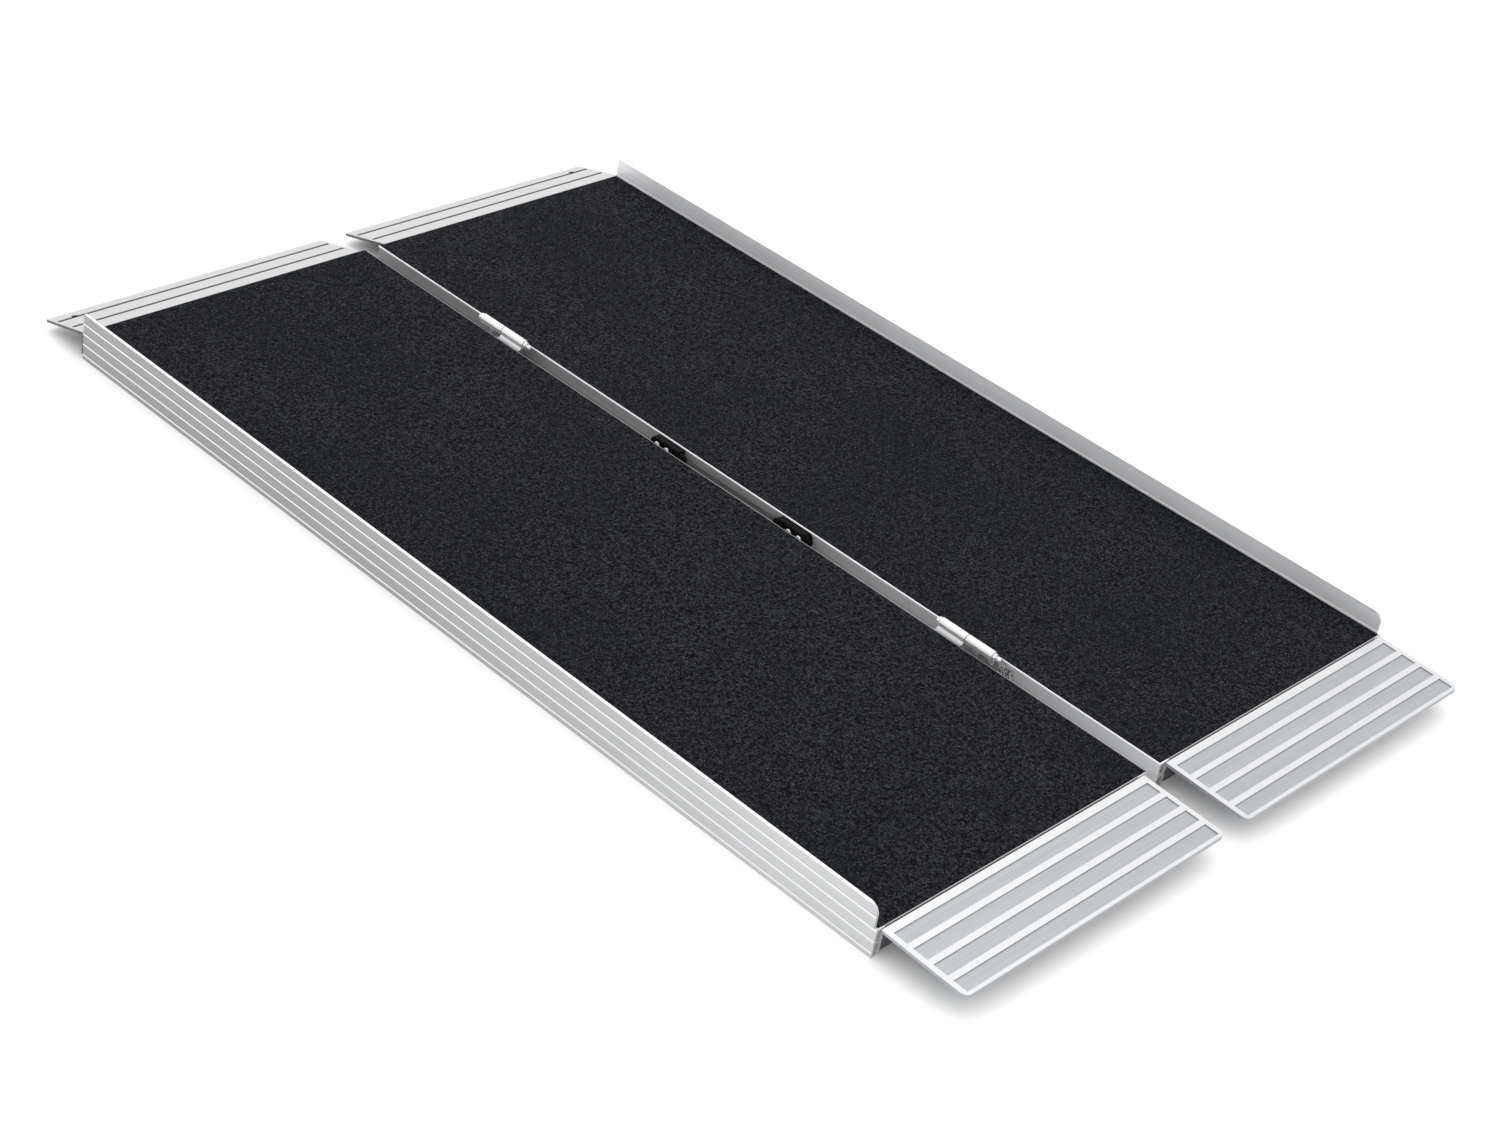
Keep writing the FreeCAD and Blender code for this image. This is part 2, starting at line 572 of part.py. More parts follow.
def hinge_pin(end):
    """Pin with a collar and a ball end toward the foot of the ramp."""
    centre = DECK_FOOT_Y + HINGE_CENTRES[end]
    z = HINGE_AXIS_Z
    foot_side = centre - HINGE_LENGTH / 2
    top_side = centre + HINGE_LENGTH / 2
    shaft = rod(HINGE_PIN_R, (0, foot_side - 3.4, z), (0, top_side + 4.4, z))
    collar = rod(KNUCKLE_R * 0.76, (0, foot_side - 3.0, z), (0, foot_side - 0.4, z))
    collar = collar.makeChamfer(SMALL_CHAMFER, rim_edges(collar))
    neck = rod(HINGE_PIN_R * 0.6, (0, foot_side - 6.0, z), (0, foot_side - 3.0, z))
    ball = Part.makeSphere(HINGE_PIN_R * 0.85, FreeCAD.Vector(0, foot_side - 6.2, z))
    return fused([shaft, collar, neck, ball])


def hinge_pin_cap(end):
    """Pressed ring that keeps the pin in, at its end toward the top of the ramp."""
    top_side = DECK_FOOT_Y + HINGE_CENTRES[end] + HINGE_LENGTH / 2
    z = HINGE_AXIS_Z
    ring = rod(KNUCKLE_R * 0.8, (0, top_side + 0.4, z), (0, top_side + 3.4, z))
    ring = ring.makeChamfer(SMALL_CHAMFER, rim_edges(ring))
    return ring.cut(rod(HINGE_PIN_R, (0, top_side - 1, z), (0, top_side + 5, z)))


# ---------------------------------------------------------------- carrying handle
def handle_mount(end):
    """Moulded block on the right inner rail that holds one stub of the bail."""
    outer = HANDLE_HALF_LENGTH
    inner = HANDLE_HALF_LENGTH - MOUNT_LENGTH
    xs = (GAP_HALF - MOUNT_THICKNESS, GAP_HALF)
    body = block(xs, (HANDLE_Y + inner, HANDLE_Y + outer), (MOUNT_BOTTOM, MOUNT_TOP))
    at_outer_end = [e for e in body.Edges if e.BoundBox.YMin > HANDLE_Y + outer - TOUCH
                    and abs(e.Length - MOUNT_THICKNESS) < TOUCH]
    body = body.makeFillet(MOUNT_END_RADIUS, at_outer_end)
    front = [e for e in body.Edges if e.BoundBox.XMax < xs[0] + TOUCH]
    body = body.makeFillet(MOUNT_EDGE_RADIUS, front)
    depth = BAIL_STUB + 1.0
    bore_start = (BAIL_X, HANDLE_Y + inner - 1, BAIL_PIVOT_Z)
    bore_end = (BAIL_X, HANDLE_Y + inner + depth, BAIL_PIVOT_Z)
    cutters = [rod(BAIL_R + RUNNING_CLEARANCE, bore_start, bore_end)]
    for s in MOUNT_SCREWS:
        y = HANDLE_Y + outer - s
        cutters.append(side_hole(*xs, y, MOUNT_SCREW_Z))
    body = without(body, cutters)
    return body if end > 0 else body.mirror(FreeCAD.Vector(0, HANDLE_Y, 0), Y_AXIS)


def mount_screws():
    """Pan-head screws that hold both mounts to the rail's web."""
    face = GAP_HALF - MOUNT_THICKNESS
    screws = []
    for y in mount_screw_places():
        shank = rod(RIVET_R, (face, y, MOUNT_SCREW_Z), (GAP_HALF + RAIL_WALL + 3.0, y, MOUNT_SCREW_Z))
        head = domed_head(MOUNT_SCREW_HEAD_R, SCREW_HEAD, (face, y, MOUNT_SCREW_Z), (-1, 0, 0))
        screws.append(shank.fuse(head).removeSplitter())
    return Part.makeCompound(screws)


def carry_bail():
    """Bent rod: two stubs, two arms and the bar inside the grip."""
    side_play = 0.3
    arm = HANDLE_HALF_LENGTH - MOUNT_LENGTH - BAIL_BEND_R - side_play
    stub = HANDLE_HALF_LENGTH - MOUNT_LENGTH + BAIL_STUB
    r = BAIL_BEND_R
    lean = r * (1 - math.cos(math.pi / 4))
    x = BAIL_X

    def at(y, z):
        return FreeCAD.Vector(x, HANDLE_Y + y, z)

    high = BAIL_PIVOT_Z
    low = GRIP_Z
    edges = [
        Part.LineSegment(at(-stub, high), at(-arm - r, high)),
        Part.Arc(at(-arm - r, high), at(-arm - lean, high - lean), at(-arm, high - r)),
        Part.LineSegment(at(-arm, high - r), at(-arm, low + r)),
        Part.Arc(at(-arm, low + r), at(-arm + lean, low + lean), at(-arm + r, low)),
        Part.LineSegment(at(-arm + r, low), at(arm - r, low)),
        Part.Arc(at(arm - r, low), at(arm - lean, low + lean), at(arm, low + r)),
        Part.LineSegment(at(arm, low + r), at(arm, high - r)),
        Part.Arc(at(arm, high - r), at(arm + lean, high - lean), at(arm + r, high)),
        Part.LineSegment(at(arm + r, high), at(stub, high)),
    ]
    path = Part.Wire([e.toShape() for e in edges])
    ring = Part.Wire(Part.makeCircle(BAIL_R, at(-stub, high), Y_AXIS))
    return path.makePipeShell([ring], True, False)


def carry_grip():
    """Moulded sleeve on the bail's bar, with finger hollows in its upper side."""
    y0 = HANDLE_Y - GRIP_HALF_LENGTH
    y1 = HANDLE_Y + GRIP_HALF_LENGTH
    body = rod(GRIP_R, (BAIL_X, y0, GRIP_Z), (BAIL_X, y1, GRIP_Z))
    body = body.makeFillet(GRIP_R / 4, rim_edges(body))
    pitch = 2 * GRIP_HALF_LENGTH / (FINGER_COUNT + 0.5)
    hollow_r = 26.0
    depth = 1.1
    cutters = []
    for i in range(FINGER_COUNT):
        y = HANDLE_Y + (i - (FINGER_COUNT - 1) / 2) * pitch
        z = GRIP_Z + GRIP_R + hollow_r - depth
        cutters.append(rod(hollow_r, (BAIL_X - 8, y, z), (BAIL_X + 8, y, z)))
    cutters.append(rod(BAIL_R, (BAIL_X, y0 - 1, GRIP_Z), (BAIL_X, y1 + 1, GRIP_Z)))
    return without(body, cutters)


# ---------------------------------------------------------------- the whole ramp
def panel(side):
    """Every node of one panel, by its name without the side."""
    nodes = {"outer_rail": outer_rail(), "inner_rail": inner_rail(side), "grit_sheet": grit_sheet(),
             "foot_rail": foot_rail(), "foot_plate": foot_plate(), "top_rail": top_rail(),
             "top_lip": top_lip(), "lip_rivets": lip_rivets(),
             "foot_rail_screws": plank_screws(DECK_FOOT_Y + FOOT_RAIL_SETBACK, 1, False),
             "top_rail_screws": plank_screws(DECK_TOP_Y, -1, True)}
    for i in range(PLANK_COUNT):
        nodes["plank_%d" % (i + 1)] = plank(i)
    if side < 0:
        nodes = {name: shape.mirror(ORIGIN, X_AXIS) for name, shape in nodes.items()}
    return nodes


def build():
    """All nodes of the ramp, by name."""
    nodes = {}
    for side, word in ((-1, "left"), (1, "right")):
        for name, shape in panel(side).items():
            nodes["%s_%s" % (word, name)] = shape
        nodes["%s_hinge_rivets" % word] = leaf_rivets(side)
        for end in HINGE_CENTRES:
            nodes["%s_end_hinge_leaf_%s" % (end, word)] = hinge_leaf(end, side)
    for end in HINGE_CENTRES:
        nodes["%s_end_hinge_pin" % end] = hinge_pin(end)
        nodes["%s_end_hinge_pin_cap" % end] = hinge_pin_cap(end)
    nodes["handle_mount_foot_end"] = handle_mount(-1)
    nodes["handle_mount_top_end"] = handle_mount(1)
    nodes["handle_mount_screws"] = mount_screws()
    nodes["carry_bail"] = carry_bail()
    nodes["carry_grip"] = carry_grip()
    return nodes


os.makedirs("parts", exist_ok=True)
for node, shape in build().items():
    shape.exportStep("parts/%s.step" % node)
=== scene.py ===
"""Finishes, grit coats, screws, stage and camera for a single-fold portable wheelchair ramp."""
import math
import random

import bmesh
import bpy
from bpy.props import FloatProperty, FloatVectorProperty, IntProperty, PointerProperty
from mathutils import Matrix, Vector


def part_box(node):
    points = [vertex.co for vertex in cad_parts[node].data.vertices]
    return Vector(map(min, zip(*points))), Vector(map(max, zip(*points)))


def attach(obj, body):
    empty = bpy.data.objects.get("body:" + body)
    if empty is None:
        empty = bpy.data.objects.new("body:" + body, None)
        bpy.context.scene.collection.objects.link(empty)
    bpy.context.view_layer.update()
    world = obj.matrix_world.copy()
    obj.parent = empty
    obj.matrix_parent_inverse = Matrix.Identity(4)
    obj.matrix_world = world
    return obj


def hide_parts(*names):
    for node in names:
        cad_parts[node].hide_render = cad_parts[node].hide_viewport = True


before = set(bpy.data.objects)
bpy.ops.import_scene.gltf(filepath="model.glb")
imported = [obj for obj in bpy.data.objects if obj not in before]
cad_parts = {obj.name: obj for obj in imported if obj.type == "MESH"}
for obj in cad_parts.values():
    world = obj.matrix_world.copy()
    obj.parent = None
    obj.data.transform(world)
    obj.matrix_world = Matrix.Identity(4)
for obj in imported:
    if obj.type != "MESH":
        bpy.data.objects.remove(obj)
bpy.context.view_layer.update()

bl_info = {
    "name": "Portable Wheelchair Ramp",
    "version": (1, 0, 0),
    "blender": (4, 5, 0),
    "location": "3D View > Sidebar > Ramp",
    "description": "Finishes and fine pieces for a folding aluminium wheelchair ramp",
    "category": "Object",
}

SIDES = ("left", "right")
MM = 0.001
ALONG_X = (1.0, 0.0, 0.0)
ALONG_Y = (0.0, 1.0, 0.0)

# sizes of the CAD pieces that the finishes and the screws follow
FIN_THICKNESS = 2.3 * MM            # curb of an outer rail
RIB_BAND = 0.4 * MM                 # painted highlight on the outer part of a rib
CREST_BAND = 1.2 * MM               # painted highlight on the top of a curb
KEEPER_BAND = (0.1 * MM, 2.0 * MM)  # painted highlight on the rib over the grit's edge, as heights above the grit
KEEPER_PROUD = 0.55 * MM            # that rib and its fillet, from the curb's inner face
FOOT_RAIL_SKIN = 1.0 * MM           # top strip of the foot rail left lighter above its painted shade
FOOT_PLATE_SETBACK = 1.6 * MM       # from the deck's foot end to the root of a foot plate
FOOT_PLATE_TILT = math.radians(2.1)
LIP_TILT = math.radians(15.0)
PLATE_FACE_BAND = 0.5 * MM          # depth at which a ridge turns into its groove
WELD_MARK_PLACE = 178 * MM          # from the deck's foot end
MOUNT_SCREW_INSETS = (10.5 * MM, 24.0 * MM)  # from the outer end of a handle mount
SCREW_HEAD_HEIGHT = 1.8 * MM
SCREW_SHANK_R = 2.0 * MM
MASK_EDGE = 0.05 * MM               # half the width over which a mask changes

# the camera's place from the deck's foot end, and where it looks, in degrees
CAMERA_PLACE = (-1.8003, -0.9425, 1.4613)
CAMERA_HEADING = 51.606             # from +Y towards +X
CAMERA_DIP = 33.101                 # below level
CAMERA_ROLL = 10.898                # leans the view so that the ramp seems to climb
CAMERA_LENS = 67.55                 # millimetres, on a sensor 36 mm wide


# ---------------------------------------------------------------- what a user can change
class RampSizes(bpy.types.PropertyGroup):
    """Sizes of the pieces that are made here"""
    grit_cell: FloatProperty(
        name="Grit cell", description="Mean distance between the coarse grains of the tread",
        default=2.15 * MM, min=1.5 * MM, unit="LENGTH", precision=5)
    grit_relief: FloatProperty(
        name="Grit relief", description="Height of the coarse grains above their sheet",
        default=0.34 * MM, min=0.0, unit="LENGTH", precision=5)
    screw_sides: IntProperty(
        name="Screw sides", description="Number of sides of a screw's head", default=24, min=12)
    socket_across: FloatProperty(
        name="Socket size", description="Share of a screw head's radius taken by its hexagon socket",
        default=0.56, min=0.2, max=0.8, subtype="FACTOR")


class RampColours(bpy.types.PropertyGroup):
    """Colours of the finishes and the floor"""
    aluminium: FloatVectorProperty(
        name="Aluminium", description="Drawn face of the rails", subtype="COLOR",
        default=(0.55, 0.555, 0.563), min=0, max=1)
    # painted highlight colour, laid on ribs, plate ridges, curb crests and inner rail tops
    edge_highlight: FloatVectorProperty(
        name="Bright edge", description="Ribs, ridges and rounded edges of the aluminium",
        subtype="COLOR", default=(0.63, 0.633, 0.64), min=0, max=1)
    # painted shade: the groove floors are darker than the ridge tops of the same plate
    groove: FloatVectorProperty(
        name="Groove", description="Floors of the grooves in the foot plates and lips",
        subtype="COLOR", default=(0.35, 0.362, 0.378), min=0, max=1)
    grit: FloatVectorProperty(
        name="Grit", description="Mean colour of the tread", subtype="COLOR",
        default=(0.0066, 0.0070, 0.0083), min=0, max=1)
    plating: FloatVectorProperty(
        name="Plating", description="Zinc plating of the hinges and screws", subtype="COLOR",
        default=(0.74, 0.745, 0.755), min=0, max=1)
    plastic: FloatVectorProperty(
        name="Plastic", description="Moulded handle mounts and grip", subtype="COLOR",
        default=(0.0016, 0.0016, 0.0017), min=0, max=1)
    floor: FloatVectorProperty(
        name="Floor", description="Plain floor under the ramp", subtype="COLOR",
        default=(0.95, 0.95, 0.952), min=0, max=1)


class RampLight(bpy.types.PropertyGroup):
    """Light and exposure of the stage"""
    sky: FloatProperty(
        name="Sky", description="Brightness of the studio's white surroundings", default=1.32, min=0)
    key: FloatProperty(
        name="Softbox", description="Power of the large softbox above the ramp", default=14.4, min=0,
        unit="POWER")
    exposure: FloatProperty(
        name="Exposure", description="Exposure of the whole view, in stops", default=0.0)


# ---------------------------------------------------------------- node trees
def put(tree, kind, sockets=None, **settings):
    """A node whose sockets take values or the outputs of other nodes."""
    node = tree.nodes.new(kind)
    for key, value in settings.items():
        setattr(node, key, value)
    for key, value in (sockets or {}).items():
        target = node.inputs[key]
        if isinstance(value, bpy.types.NodeSocket):
            tree.links.new(value, target)
        else:
            target.default_value = value
    return node


def maths(tree, operation, a, b=0.0, clamp=False):
    """One step of arithmetic."""
    return put(tree, "ShaderNodeMath", {0: a, 1: b}, operation=operation, use_clamp=clamp).outputs[0]


def vector_maths(tree, operation, a, b):
    """One step of arithmetic on vectors."""
    return put(tree, "ShaderNodeVectorMath", {0: a, 1: b}, operation=operation).outputs["Vector"]


def remap(tree, value, from_low, from_high, to_low=0.0, to_high=1.0):
    """A value moved from one range to another, and held inside it."""
    return put(tree, "ShaderNodeMapRange",
               {"Value": value, "From Min": from_low, "From Max": from_high,
                "To Min": to_low, "To Max": to_high}).outputs["Result"]


def blend_colours(tree, share, a, b, how="MIX"):
    """A share of colour b over colour a; each is a socket or three numbers."""
    node = put(tree, "ShaderNodeMix", {"Factor": share}, data_type="RGBA", blend_type=how,
               clamp_result=False)
    for key, value in (("A", a), ("B", b)):
        socket = next(s for s in node.inputs if s.name == key and s.type == "RGBA")
        if isinstance(value, bpy.types.NodeSocket):
            tree.links.new(value, socket)
        else:
            socket.default_value = (*value, 1.0)
    return next(s for s in node.outputs if s.type == "RGBA")


def noise(tree, position, scale, detail=2.0, roughness=0.5, distortion=0.0):
    """Smooth noise from 0 to 1."""
    return put(tree, "ShaderNodeTexNoise",
               {"Vector": position, "Scale": scale, "Detail": detail, "Roughness": roughness,
                "Distortion": distortion}).outputs["Fac"]


SOCKET_KINDS = {"vector": "NodeSocketVector", "value": "NodeSocketFloat", "colour": "NodeSocketColor"}


def effect(name, inputs, outputs, build):
    """A shader node group, made once. Inputs are (name, kind, default); build fills the tree."""
    tree = bpy.data.node_groups.get(name)
    if tree:
        return tree
    tree = bpy.data.node_groups.new(name, "ShaderNodeTree")
    for label, kind, default in inputs:
        socket = tree.interface.new_socket(label, in_out="INPUT", socket_type=SOCKET_KINDS[kind])
        if default is not None:
            socket.default_value = default
    for label, kind in outputs:
        tree.interface.new_socket(label, in_out="OUTPUT", socket_type=SOCKET_KINDS[kind])
    entry = tree.nodes.new("NodeGroupInput")
    results = build(tree, entry.outputs)
    leaving = tree.nodes.new("NodeGroupOutput")
    for label, socket in results.items():
        tree.links.new(socket, leaving.inputs[label])
    return tree


def use(tree, group, sockets):
    """The outputs of a node group, given its inputs."""
    return put(tree, "ShaderNodeGroup", sockets, node_tree=group).outputs


def scaled(colour, share):
    """A colour made darker or brighter."""
    return tuple(part * share for part in colour)


def drawn_lines():
    """Fine die lines and broad bands that run along a drawn or brushed piece."""
    def build(tree, given):
        fine = vector_maths(tree, "MULTIPLY", given["Position"], given["Density"])
        lines = noise(tree, fine, 1.0, 5.0, 0.62)
        broad = vector_maths(tree, "MULTIPLY", fine, (0.09, 0.3, 0.09))
        bands = noise(tree, broad, 1.0, 2.0, 0.5)
        return {"Lines": lines, "Bands": bands}
    return effect("Drawn Lines",
                  [("Position", "vector", None), ("Density", "vector", (900.0, 5.0, 900.0))],
                  [("Lines", "value"), ("Bands", "value")], build)


def handling_marks():
    """Cloudy oxide and a few thin scratches at odd angles."""
    def build(tree, given):
        cloud = noise(tree, given["Position"], 9.0, 4.0, 0.6)
        bent = put(tree, "ShaderNodeMapping", {"Vector": given["Position"],
                   "Rotation": (0.3, 0.5, 0.9), "Scale": (420.0, 16.0, 60.0)}).outputs["Vector"]
        streaks = noise(tree, bent, 1.0, 3.0, 0.55, 0.4)
        mask = remap(tree, streaks, 0.70, 0.76)
        patch = remap(tree, noise(tree, given["Position"], 23.0, 2.0), 0.5, 0.62)
        scratches = maths(tree, "MULTIPLY", maths(tree, "MULTIPLY", mask, patch), given["Amount"])
        return {"Cloud": cloud, "Scratches": scratches}
    return effect("Handling Marks", [("Position", "vector", None), ("Amount", "value", 1.0)],
                  [("Cloud", "value"), ("Scratches", "value")], build)


def moulded_grain():
    """Spark-eroded grain of a moulding, with a slow change of sheen."""
    def build(tree, given):
        cells = put(tree, "ShaderNodeTexVoronoi",
                    {"Vector": given["Position"], "Scale": given["Density"]}, feature="F1")
        height = maths(tree, "ADD", cells.outputs["Distance"],
                       noise(tree, given["Position"], 2600.0, 2.0))
        return {"Height": height, "Sheen": noise(tree, given["Position"], 60.0, 3.0)}
    return effect("Moulded Grain", [("Position", "vector", None), ("Density", "value", 1500.0)],
                  [("Height", "value"), ("Sheen", "value")], build)


def mineral_grit():
    """Packed mineral grains: a tone for each grain, its height, and a mask of the few grains painted
    bright as a painted glint.
    """
    def build(tree, given):
        cells = put(tree, "ShaderNodeTexVoronoi",
                    {"Vector": given["Position"], "Scale": given["Density"], "Randomness": 1.0},
                    feature="F1")
        finer_density = maths(tree, "MULTIPLY", given["Density"], 2.3)
        finer = put(tree, "ShaderNodeTexVoronoi",
                    {"Vector": given["Position"], "Scale": finer_density}, feature="F1")
        split = put(tree, "ShaderNodeSeparateColor", {"Color": cells.outputs["Color"]}).outputs
        fine = put(tree, "ShaderNodeSeparateColor", {"Color": finer.outputs["Color"]}).outputs
        coarse = maths(tree, "POWER", split[0], 1.6)
        tone = maths(tree, "MULTIPLY", maths(tree, "ADD", coarse, 0.12),
                     maths(tree, "ADD", fine[0], 0.35))
        glint_paint = remap(tree, fine[1], 0.93, 0.99)
        height = maths(tree, "SUBTRACT", 1.0, cells.outputs["Distance"])
        return {"Tone": tone, "Painted Glint": glint_paint, "Height": height}
    return effect("Mineral Grit", [("Position", "vector", None), ("Density", "value", 900.0)],
                  [("Tone", "value"), ("Painted Glint", "value"), ("Height", "value")], build)


def facing_along():
    """Mask of the faces that look along one axis, such as sawn ends."""
    def build(tree, given):
        dot = put(tree, "ShaderNodeVectorMath", {0: given["Normal"], 1: given["Axis"]},
                  operation="DOT_PRODUCT").outputs["Value"]
        return {"Mask": remap(tree, maths(tree, "ABSOLUTE", dot), 0.93, 0.98)}
    return effect("Facing Along", [("Normal", "vector", None), ("Axis", "vector", (0.0, 1.0, 0.0))],
                  [("Mask", "value")], build)


# ---------------------------------------------------------------- materials
def start_material(name, **shader):
    """A material with its surface shader, and the piece's own position and normal."""
    material = bpy.data.materials.new(name)
    material.use_nodes = True
    tree = material.node_tree
    tree.nodes.clear()
    surface = put(tree, "ShaderNodeBsdfPrincipled", shader)
    out = tree.nodes.new("ShaderNodeOutputMaterial")
    tree.links.new(surface.outputs[0], out.inputs["Surface"])
    places = tree.nodes.new("ShaderNodeTexCoord").outputs
    return material, tree, surface, places["Object"], places["Normal"]


def finish_surface(tree, surface, colour, roughness, height=None, strength=0.2, distance=0.2 * MM):
    """Joins colour, roughness and bump to the surface shader."""
    tree.links.new(colour, surface.inputs["Base Color"])
    tree.links.new(roughness, surface.inputs["Roughness"])
    if height is not None:
        bump = put(tree, "ShaderNodeBump", {"Height": height, "Strength": strength, "Distance": distance})
        tree.links.new(bump.outputs["Normal"], surface.inputs["Normal"])


def drawn_aluminium(name, tint, density, end_axis, rough=0.42, bright_mask=None, bright=None,
                    line_depth=0.12, contrast=0.07, metal=0.5, tone=None):
    """Extruded aluminium: die lines along the piece, cloudy oxide, duller sawn ends, and where given,
    painted light, shade and highlights.
    """
    material, tree, surface, position, normal = start_material(
        name, **{"Metallic": metal, "IOR": 1.45})
    lines = use(tree, drawn_lines(), {"Position": position, "Density": density})
    marks = use(tree, handling_marks(), {"Position": position, "Amount": 0.6})
    ends = use(tree, facing_along(), {"Normal": normal, "Axis": end_axis})["Mask"]
    shade = remap(tree, lines["Lines"], 0.3, 0.7, 1 - contrast, 1 + contrast)
    shade = maths(tree, "MULTIPLY", shade, remap(tree, lines["Bands"], 0.3, 0.7, 0.96, 1.03))
    shade = maths(tree, "MULTIPLY", shade, remap(tree, marks["Cloud"], 0.3, 0.7, 0.955, 1.035))
    # the tone carries painted light and shade along a piece
    if tone is not None:
        shade = maths(tree, "MULTIPLY", shade, tone(tree, position))
    colour = blend_colours(tree, 1.0, tint, shade, "MULTIPLY")
    # a lighter colour where the mask is: painted highlights, or the lighter top strip above the foot
    # rail's painted shade
    if bright_mask is not None:
        colour = blend_colours(tree, bright_mask(tree, position, normal), colour, bright)
    colour = blend_colours(tree, maths(tree, "MULTIPLY", ends, 0.6), colour, (0.40, 0.405, 0.41))
    colour = blend_colours(tree, maths(tree, "MULTIPLY", marks["Scratches"], 0.5), colour,
                           (0.9, 0.9, 0.91))
    roughness = remap(tree, lines["Lines"], 0.25, 0.75, rough - 0.06, rough + 0.08)
    roughness = maths(tree, "ADD", roughness, remap(tree, marks["Cloud"], 0.3, 0.7, -0.03, 0.05))
    finish_surface(tree, surface, colour, roughness, lines["Lines"], line_depth)
    return material


def beyond(axis, limit, sign=1):
    """Mask of what lies past a limit along one axis; sign 0 means on either side."""
    def mask(tree, position, _normal):
        part = put(tree, "ShaderNodeSeparateXYZ", {"Vector": position}).outputs[axis]
        part = maths(tree, "ABSOLUTE", part) if sign == 0 else maths(tree, "MULTIPLY", part, sign)
        return remap(tree, part, limit - MASK_EDGE, limit + MASK_EDGE)
    return mask


def fade(axis, *stops):
    """Value that runs through (place, value) stops along one axis."""
    def value(tree, position):
        part = put(tree, "ShaderNodeSeparateXYZ", {"Vector": position}).outputs[axis]
        result = stops[0][1]
        for (low, first), (high, last) in zip(stops, stops[1:]):
            result = maths(tree, "ADD", result, remap(tree, part, low, high, 0.0, last - first))
        return result
    return value


def above_plane(point, tilt, limit, softness=0.12 * MM):
    """Mask of what lies above a plane that leans about X, set off from a point by a limit."""
    def mask(tree, position, _normal):
        lean = Matrix.Rotation(tilt, 3, "X") @ Vector((0, 0, 1))
        level = put(tree, "ShaderNodeVectorMath", {0: position, 1: tuple(lean)},
                    operation="DOT_PRODUCT").outputs["Value"]
        base = lean.dot(Vector(point)) + limit
        return remap(tree, level, base - softness, base + softness)
    return mask


def plated_steel(name, tint, rough, tone=None):
    """Bright zinc plating, faintly mottled, with light rub marks."""
    material, tree, surface, position, _ = start_material(name, **{"Metallic": 0.75, "IOR": 1.5})
    marks = use(tree, handling_marks(), {"Position": position, "Amount": 0.8})
    mottle = noise(tree, position, 120.0, 2.0, 0.5)
    shade = remap(tree, mottle, 0.3, 0.7, 0.95, 1.03)
    colour = blend_colours(tree, 1.0, tint, shade, "MULTIPLY")
    colour = blend_colours(tree, remap(tree, marks["Cloud"], 0.55, 0.75, 0.0, 0.25), colour,
                           (0.80, 0.80, 0.79))
    # the tone carries painted shade, as on the hinge barrels
    if tone is not None:
        colour = blend_colours(tree, 1.0, colour, tone(tree, position), "MULTIPLY")
    roughness = remap(tree, mottle, 0.3, 0.7, rough - 0.03, rough + 0.06)
    roughness = maths(tree, "ADD", roughness, maths(tree, "MULTIPLY", marks["Scratches"], 0.15))
    finish_surface(tree, surface, colour, roughness, mottle, 0.02)
    return material


def moulded_black(name, tint, rough, density=1500.0):
    """Black moulding or powder coat with a fine grain and a slow change of sheen."""
    material, tree, surface, position, _ = start_material(
        name, **{"Metallic": 0.0, "IOR": 1.46, "Specular IOR Level": 0.08})
    grain = use(tree, moulded_grain(), {"Position": position, "Density": density})
    shade = remap(tree, grain["Sheen"], 0.3, 0.7, 0.8, 1.25)
    colour = blend_colours(tree, 1.0, tint, shade, "MULTIPLY")
    roughness = remap(tree, grain["Sheen"], 0.3, 0.7, rough - 0.05, rough + 0.08)
    finish_surface(tree, surface, colour, roughness, grain["Height"], 0.22, 0.1 * MM)
    return material


def grit_with_painted_glint(tint):
    """Black mineral grit in resin: dark grains, a few grains painted bright as a painted glint and made
    smoother, slow cool patches.
    """
    material, tree, surface, position, _ = start_material(
        "grit_with_painted_glint", **{"Metallic": 0.0, "IOR": 1.45, "Specular IOR Level": 0.035})
    grit = use(tree, mineral_grit(), {"Position": position, "Density": 470.0})
    slow = noise(tree, position, 7.0, 3.0, 0.55)
    shade = remap(tree, grit["Tone"], 0.0, 1.3, 0.0, 5.0)
    colour = blend_colours(tree, 1.0, tint, shade, "MULTIPLY")
    cool = tuple(part * share for part, share in zip(tint, (0.92, 1.0, 1.22)))
    colour = blend_colours(tree, remap(tree, slow, 0.45, 0.72, 0.0, 0.6), colour, cool)
    # painted glint: the few glinting grains get a brighter colour, and below their roughness is lowered
    colour = blend_colours(tree, maths(tree, "MULTIPLY", grit["Painted Glint"], 0.8), colour,
                           (0.066, 0.068, 0.072))
    roughness = remap(tree, grit["Painted Glint"], 0.0, 1.0, 0.80, 0.45)
    finish_surface(tree, surface, colour, roughness, grit["Height"], 0.65, 0.4 * MM)
    return material


def paint(node, material):
    """Puts a finish in every slot of a carried-over node."""
    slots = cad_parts[node].data.materials
    for i in range(len(slots)):
        slots[i] = material
    if not len(slots):
        slots.append(material)


# ---------------------------------------------------------------- tones of the rails
def outer_rail_painted_shading(foot, fin_inside, deck, top):
    """Painted light and shade of an outer rail: the outside darkens up the ramp, and the curb's inside is
    painted lighter, lightest at the top end and darker towards the grit.
    """
    outside = fade(1, (foot + 0.10, 0.94), (foot + 0.62, 0.56), (foot + 1.07, 0.53))
    inside = fade(1, (foot, 1.45), (foot + 1.0, 1.42), (foot + 1.06, 1.8))
    upward = fade(2, (deck + 4 * MM, 0.84), (top - 5 * MM, 1.0))

    def tone(tree, position):
        out = beyond(0, fin_inside, 0)(tree, position, None)
        within = maths(tree, "MULTIPLY", inside(tree, position), upward(tree, position))
        step = maths(tree, "SUBTRACT", outside(tree, position), within)
        return maths(tree, "ADD", within, maths(tree, "MULTIPLY", out, step))
    return tone


